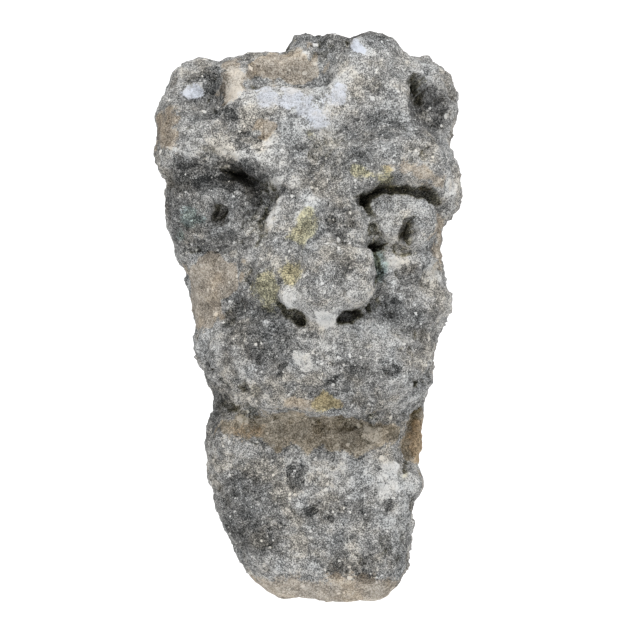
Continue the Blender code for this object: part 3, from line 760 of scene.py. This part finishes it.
def stoneMaterial():
    # tone, then colour, then bump: every pattern reads the object's own coordinates or attributes
    material = bpy.data.materials.new("weatheredStoneAndPaintedShade")
    material.use_nodes = True
    tree = material.node_tree
    tree.nodes.clear()
    kit = NodeKit(tree)
    look = stoneFinish
    place = kit.add("ShaderNodeTexCoord").outputs["Object"]

    def noise(size, detail, rough, shift):
        # noise about 0, mostly between -0.25 and 0.25
        where = kit.add("ShaderNodeMapping", Vector=place, Location=(shift, shift, shift)).outputs[0]
        node = kit.add("ShaderNodeTexNoise", Vector=where, Scale=1000 / size, Detail=detail, Roughness=rough)
        return kit.sum("SUBTRACT", node.outputs["Fac"], 0.5)

    def spots(size, share, reach, shift):
        # round growths with a ragged edge, one in some cells of a Voronoi pattern
        where = kit.add("ShaderNodeMapping", Vector=place, Location=(shift, shift, shift)).outputs[0]
        node = kit.add("ShaderNodeTexVoronoi", Vector=where, Scale=1000 / size)
        pick = kit.add("ShaderNodeSeparateColor", Color=node.outputs["Color"])
        radius = kit.sum("MULTIPLY_ADD", pick.outputs[1], reach, 0.02)
        inside = kit.sum("SUBTRACT", radius, node.outputs["Distance"])
        inside = kit.more(grain, 0.45, inside)
        picked = kit.sum("LESS_THAN", pick.outputs[0], share)
        return kit.sum("MULTIPLY", kit.step(inside, -0.03, 0.05), picked)

    def plates(size):
        # one even tone in each cell of a Voronoi pattern with wandering edges, from -0.5 to 0.5
        stir = kit.add("ShaderNodeTexNoise", Vector=place, Scale=2500 / size, Detail=3)
        where = kit.add("ShaderNodeVectorMath", {"operation": "MULTIPLY_ADD"})
        for socket, value in zip(where.inputs, (stir.outputs["Color"], (0.0007 * size,) * 3, place)):
            kit.feed(socket, value)
        node = kit.add("ShaderNodeTexVoronoi", Vector=where.outputs[0], Scale=1000 / size)
        pick = kit.add("ShaderNodeSeparateColor", Color=node.outputs["Color"])
        return kit.sum("SUBTRACT", pick.outputs[0], 0.5)

    def cover(name):
        return kit.add("ShaderNodeAttribute", {"attribute_name": name}).outputs["Fac"]

    def spread(name):
        # a patch whose edge breaks up into clumps and grains: the cover plus noise, cut at a level
        low, high, breakUp = look["ownEdges"].get(name, look["edge"])
        broken = kit.more(clump, 1.2 * breakUp, cover(name))
        return kit.step(kit.more(grain, breakUp, broken), low, high)

    broad, clump, grain, sand, drift = (noise(*values) for values in look["noises"].values())
    grown = {name: spots(*values[:4]) for name, values in look["spots"].items()}
    covers = {name: spread(name) for name in finishAndShadePatches}
    # painted shade from occlusion, with some grime, full where stone closes in most
    covers["shadeAndGrime"] = kit.step(cover("shadeAndGrime"), 0.38, 1.0)
    # painted light and shade from the relief, about 0
    covers["paintedRelief"] = kit.sum("SUBTRACT", cover("paintedRelief"), 0.5)
    covers["rust"] = kit.sum("MULTIPLY", covers["rust"], look["rustShare"])

    strengths = look["strengths"]
    mottle = kit.more(grain, strengths["grain"], kit.sum("MULTIPLY", sand, strengths["sand"]))
    mottle = kit.more(clump, strengths["clump"], mottle)
    for size, strength in look["plates"]:
        mottle = kit.more(plates(size), strength, mottle)
    calm = kit.more(covers["chalk"], look["chalkCalm"], 1.0)
    calm = kit.more(kit.sum("MAXIMUM", covers["bare"], covers["brown"]), look["bareCalm"], calm)
    tone = kit.sum("MULTIPLY_ADD", mottle, calm, look["middle"])
    tone = kit.more(broad, strengths["broad"], tone)
    for name, spot in grown.items():
        tone = kit.more(spot, look["spots"][name][4], tone)
    for name, strength in look["patches"].items():
        tone = kit.more(covers[name], strength, tone)

    colour = kit.blend(covers["bare"], kit.ramp(tone, look["crust"]), kit.ramp(tone, look["bare"]))
    colour = kit.blend(covers["brown"], colour, kit.ramp(tone, look["earth"]))
    drift = kit.more(clump, 0.6, drift)
    covers["warm"] = kit.step(drift, 0.0, 0.16)
    covers["cool"] = kit.step(kit.sum("MULTIPLY", drift, -1.0), 0.0, 0.16)
    for name, tint in look["tints"].items():
        colour = kit.blend(covers[name], colour, kit.blend(1.0, colour, tint, "MULTIPLY"))

    bumps = look["bumps"]
    height = kit.more(sand, bumps["sand"], grain)
    height = kit.more(clump, bumps["clump"], height)
    height = kit.more(grown["paleSpots"], bumps["paleSpots"], height)
    bump = kit.add("ShaderNodeBump", Height=height, Strength=1.0, Distance=look["bumpHeight"])
    shader = kit.add("ShaderNodeBsdfPrincipled", Normal=bump.outputs[0], Roughness=look["roughness"])
    kit.feed(shader.inputs["Base Color"], colour)
    shader.inputs["Specular IOR Level"].default_value = look["specular"]
    output = tree.nodes.new("ShaderNodeOutputMaterial")
    tree.links.new(shader.outputs[0], output.inputs["Surface"])
    return material


stoneMesh.materials.append(stoneMaterial())
print("stone finished")


# Studio: a pale floor that sweeps up into a backdrop, white air, one soft lamp above the camera
studio = {
    "frameHeight": 0.64,             # metres of the picture's side, at the face
    "faceOut": 0.2,
    "eye": (0.011, -3.2, -0.002),
    "sensor": 36,
    "floorLevel": -0.78,
    "sweepRadius": 2.2,
    "backdropAt": 4.5,
    "floorColour": (0.93, 0.93, 0.93),
    "air": 0.66,
    "lampPower": 74,
    "lampSize": 1.5,
    "lampPlace": (0.35, -1.9, 2.3),
    "lampAim": (0.0, -0.15, 0.0),
}


def makeFloor():
    # a profile carried across: flat, then a quarter circle up, then upright
    angle = np.linspace(0, np.pi / 2, 25)
    radius = studio["sweepRadius"]
    away = np.concatenate([[-7.0], studio["backdropAt"] - radius + radius * np.sin(angle),
                           [studio["backdropAt"]]])
    level = np.concatenate([[0.0], radius - radius * np.cos(angle), [7.0]]) + studio["floorLevel"]
    across = np.array([-9.0, 9.0])
    verts = np.stack(np.broadcast_arrays(across[None, :], away[:, None], level[:, None]), -1).reshape(-1, 3)
    first = 2 * np.arange(len(away) - 1)
    faces = np.stack([first, first + 1, first + 3, first + 2], 1)
    mesh = bpy.data.meshes.new("paleFloor")
    mesh.from_pydata(verts.tolist(), [], faces.tolist())
    mesh.polygons.foreach_set("use_smooth", np.ones(len(faces), bool))
    mesh.update()
    paper = bpy.data.materials.new("palePaper")
    paper.use_nodes = True
    shader = paper.node_tree.nodes["Principled BSDF"]
    shader.inputs["Base Color"].default_value = (*studio["floorColour"], 1)
    shader.inputs["Roughness"].default_value = 1.0
    shader.inputs["Specular IOR Level"].default_value = 0.0
    shader.inputs["Emission Color"].default_value = (1, 1, 1, 1)
    shader.inputs["Emission Strength"].default_value = 0.35
    mesh.materials.append(paper)
    floor = bpy.data.objects.new("paleFloor", mesh)
    bpy.context.scene.collection.objects.link(floor)


def makeLights():
    # even white air, and the lamp turned to its aim
    world = bpy.data.worlds.new("studioAir")
    world.use_nodes = True
    air = world.node_tree.nodes["Background"]
    air.inputs["Color"].default_value = (1, 1, 1, 1)
    air.inputs["Strength"].default_value = studio["air"]
    bpy.context.scene.world = world
    lamp = bpy.data.objects.new("softLamp", bpy.data.lights.new("softLamp", "AREA"))
    lamp.data.size = studio["lampSize"]
    lamp.data.energy = studio["lampPower"]
    lamp.location = studio["lampPlace"]
    aim = Vector(studio["lampAim"]) - Vector(studio["lampPlace"])
    lamp.rotation_euler = aim.to_track_quat("-Z", "Y").to_euler()
    bpy.context.scene.collection.objects.link(lamp)


def makeCamera():
    # level, and straight toward the wall, with a lens that fits the frame's height at the face
    camera = bpy.data.objects.new("camera", bpy.data.cameras.new("camera"))
    distance = -studio["eye"][1] - studio["faceOut"]
    camera.data.sensor_width = studio["sensor"]
    camera.data.lens = studio["sensor"] * distance / studio["frameHeight"]
    camera.data.clip_end = 60
    camera.location = studio["eye"]
    camera.rotation_euler = (radians(90), 0, 0)
    bpy.context.scene.collection.objects.link(camera)
    bpy.context.scene.camera = camera


makeFloor()
makeLights()
makeCamera()
bpy.context.scene.view_settings.view_transform = "Standard"
print("studio set")
